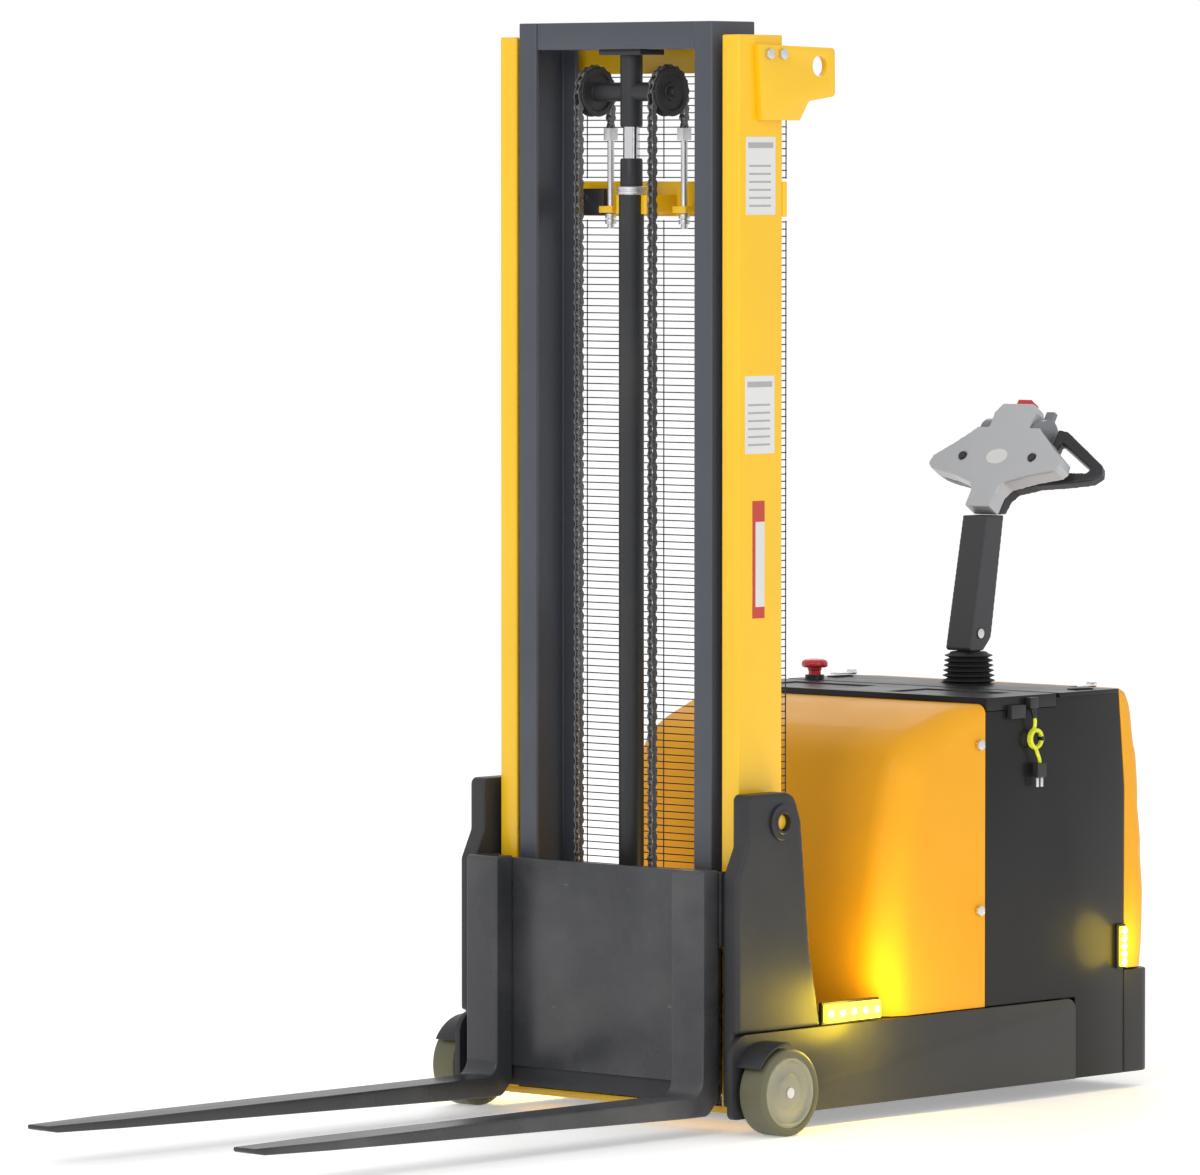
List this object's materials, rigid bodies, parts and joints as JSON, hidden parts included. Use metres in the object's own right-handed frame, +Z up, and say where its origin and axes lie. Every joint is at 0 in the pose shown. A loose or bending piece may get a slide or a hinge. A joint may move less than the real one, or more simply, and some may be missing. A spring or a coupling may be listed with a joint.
{
  "type": "walkie stacker",
  "caption": "Counterbalanced walkie stacker: two-stage chain mast with mesh guard, fixed forks, boxy battery and drive body with a steering tiller.",
  "frame": {"origin": "floor level under the middle of the whole machine's bounding box", "axes": "+Z up, forks reach towards -Y, +Y to the tiller end, +X across the truck"},
  "size_m": [0.8, 2.3414, 1.955],
  "materials": {
    "mast_yellow": "gloss",
    "mast_grey": "satin",
    "satin_black": "satin",
    "fork_black": "satin",
    "cover_yellow": "gloss",
    "cover_black": "satin",
    "zinc_steel": "satin",
    "chrome": "polished",
    "chain_steel": "satin",
    "polyurethane": "satin",
    "rubber": "matte",
    "silver_plastic": "satin",
    "black_plastic": "satin",
    "grey_plastic": "satin",
    "red_plastic": "gloss",
    "amber_lens": "gloss",
    "yellow_cord": "satin",
    "battery_case": "matte",
    "cast_iron": "matte"
  },
  "bodies": {
    "chassis": {"mast_channel_left": "mast_yellow", "mast_channel_right": "mast_yellow", "mast_crossbeams": "mast_yellow", "mast_lugs": "mast_yellow", "mast_guard": "satin_black", "lift_cylinder": "satin_black", "chain_anchors": "zinc_steel", "lift_chains_rear": "chain_steel", "limit_switch": "satin_black", "chassis_skirts": "satin_black", "mast_arms": "satin_black", "front_axles": "zinc_steel", "chassis_tray": "satin_black", "rear_bumper": "satin_black", "front_bonnet": "cover_yellow", "battery_lid": "cover_black", "rear_deck": "cover_black", "side_panel_left": "cover_black", "side_panel_right": "cover_black", "rear_cover": "cover_yellow", "hex_screws": "zinc_steel", "battery_pack": "battery_case", "hydraulic_power_unit": "satin_black", "charger_and_controller": "black_plastic", "counterweight": "cast_iron", "slewing_ring": "zinc_steel", "strobe_lights": "amber_lens", "charger_socket": "black_plastic", "charger_cord": "yellow_cord", "cord_hank": "yellow_cord", "charger_plug": "black_plastic", "tiller_boot": "rubber"},
    "inner_mast": {"inner_channel_left": "mast_grey", "inner_channel_right": "mast_grey", "inner_crossbars": "mast_grey", "ram": "chrome", "lift_chains_front": "chain_steel"},
    "mast_roller_pair": {"mast_rollers": "zinc_steel"},
    "left_sheave": {"sheave_left": "zinc_steel"},
    "right_sheave": {"sheave_right": "zinc_steel"},
    "carriage": {"carriage_frame": "satin_black", "carriage_plate": "satin_black", "fork_left": "fork_black", "fork_right": "fork_black"},
    "lower_carriage_rollers": {"carriage_rollers_lower": "zinc_steel"},
    "upper_carriage_rollers": {"carriage_rollers_upper": "zinc_steel"},
    "left_front_wheel": {"front_wheel_left": "polyurethane"},
    "right_front_wheel": {"front_wheel_right": "polyurethane"},
    "steered_drive": {"drive_unit": "cast_iron"},
    "traction_wheel": {"drive_wheel": "polyurethane"},
    "tiller": {"tiller_arm": "black_plastic", "head_shell": "silver_plastic", "head_rear_shell": "black_plastic"},
    "speed_throttle": {"throttle": "grey_plastic"},
    "safety_button": {"belly_button": "red_plastic"},
    "horn": {"horn_button": "black_plastic"},
    "lift_control": {"lift_button": "black_plastic"},
    "emergency_stop": {"estop_button": "red_plastic"},
    "left_latch": {"latch_left": "chrome"},
    "right_latch": {"latch_right": "chrome"}
  },
  "joints": [
    {"name": "mast_lift", "type": "slide", "parent": "chassis", "child": "inner_mast", "axis": [0, 0, 1], "range_m": [0, 1.3], "deforming": ["lift_chains_rear"]},
    {"name": "carriage_lift", "type": "slide", "parent": "inner_mast", "child": "carriage", "axis": [0, 0, 1], "range_m": [0, 1.3], "deforming": ["lift_chains_front"]},
    {"name": "mast_roller_spin", "type": "hinge", "parent": "inner_mast", "child": "mast_roller_pair", "pos_m": [0, 0.0788, 0.128], "axis": [1, 0, 0], "range_deg": [-1800, 60]},
    {"name": "left_sheave_spin", "type": "hinge", "parent": "inner_mast", "child": "left_sheave", "pos_m": [-0.0885, 0.0563, 1.832], "axis": [1, 0, 0], "range_deg": [-1800, 60]},
    {"name": "right_sheave_spin", "type": "hinge", "parent": "inner_mast", "child": "right_sheave", "pos_m": [0.0885, 0.0563, 1.832], "axis": [1, 0, 0], "range_deg": [-1800, 60]},
    {"name": "lower_roller_spin", "type": "hinge", "parent": "carriage", "child": "lower_carriage_rollers", "pos_m": [0, 0.0683, 0.142], "axis": [1, 0, 0], "range_deg": [-1800, 60]},
    {"name": "upper_roller_spin", "type": "hinge", "parent": "carriage", "child": "upper_carriage_rollers", "pos_m": [0, 0.0683, 0.372], "axis": [1, 0, 0], "range_deg": [-1800, 60]},
    {"name": "left_front_wheel_spin", "type": "hinge", "parent": "chassis", "child": "left_front_wheel", "pos_m": [-0.372, 0.0343, 0.077], "axis": [1, 0, 0], "continuous": true},
    {"name": "right_front_wheel_spin", "type": "hinge", "parent": "chassis", "child": "right_front_wheel", "pos_m": [0.372, 0.0343, 0.077], "axis": [1, 0, 0], "continuous": true},
    {"name": "steering", "type": "hinge", "parent": "chassis", "child": "steered_drive", "pos_m": [0, 0.9863, 0.3], "axis": [0, 0, 1], "range_deg": [-85, 85]},
    {"name": "drive_wheel_spin", "type": "hinge", "parent": "steered_drive", "child": "traction_wheel", "pos_m": [0, 0.9863, 0.105], "axis": [1, 0, 0], "continuous": true},
    {"name": "tiller_tilt", "type": "hinge", "parent": "steered_drive", "child": "tiller", "pos_m": [0, 0.9863, 0.832], "axis": [-1, 0, 0], "range_deg": [0, 60], "stiffness_Nm_per_rad": 25, "springref_deg": -20.05},
    {"name": "throttle_turn", "type": "hinge", "parent": "tiller", "child": "speed_throttle", "pos_m": [0, 1.13037, 1.19869], "axis": [1, 0, 0], "range_deg": [-30, 30], "stiffness_Nm_per_rad": 1.5},
    {"name": "belly_button_press", "type": "slide", "parent": "tiller", "child": "safety_button", "axis": [0, -0.5446, -0.8387], "range_m": [0, 0.006], "stiffness_N_per_m": 500, "springref_m": -0.002},
    {"name": "horn_button_press", "type": "slide", "parent": "tiller", "child": "horn", "axis": [0, 0.8387, -0.5446], "range_m": [0, 0.003], "stiffness_N_per_m": 400, "springref_m": -0.001},
    {"name": "lift_button_press", "type": "slide", "parent": "tiller", "child": "lift_control", "axis": [0, 0.8387, -0.5446], "range_m": [0, 0.003], "stiffness_N_per_m": 400, "springref_m": -0.001},
    {"name": "estop_press", "type": "slide", "parent": "chassis", "child": "emergency_stop", "axis": [0, 0, -1], "range_m": [0, 0.008]},
    {"name": "left_latch_lift", "type": "hinge", "parent": "chassis", "child": "left_latch", "pos_m": [-0.292, 0.9913, 0.748], "axis": [-1, 0, 0], "range_deg": [0, 120]},
    {"name": "right_latch_lift", "type": "hinge", "parent": "chassis", "child": "right_latch", "pos_m": [0.292, 0.9913, 0.748], "axis": [-1, 0, 0], "range_deg": [0, 120]}
  ],
  "couplings": [
    {"joint": "carriage_lift", "follows": "mast_lift", "ratio": 1},
    {"joint": "mast_roller_spin", "follows": "mast_lift", "rad_per_m": -21.739},
    {"joint": "left_sheave_spin", "follows": "mast_lift", "rad_per_m": -23.81},
    {"joint": "right_sheave_spin", "follows": "mast_lift", "rad_per_m": -23.81},
    {"joint": "lower_roller_spin", "follows": "mast_lift", "rad_per_m": -22.222},
    {"joint": "upper_roller_spin", "follows": "mast_lift", "rad_per_m": -22.222}
  ]
}
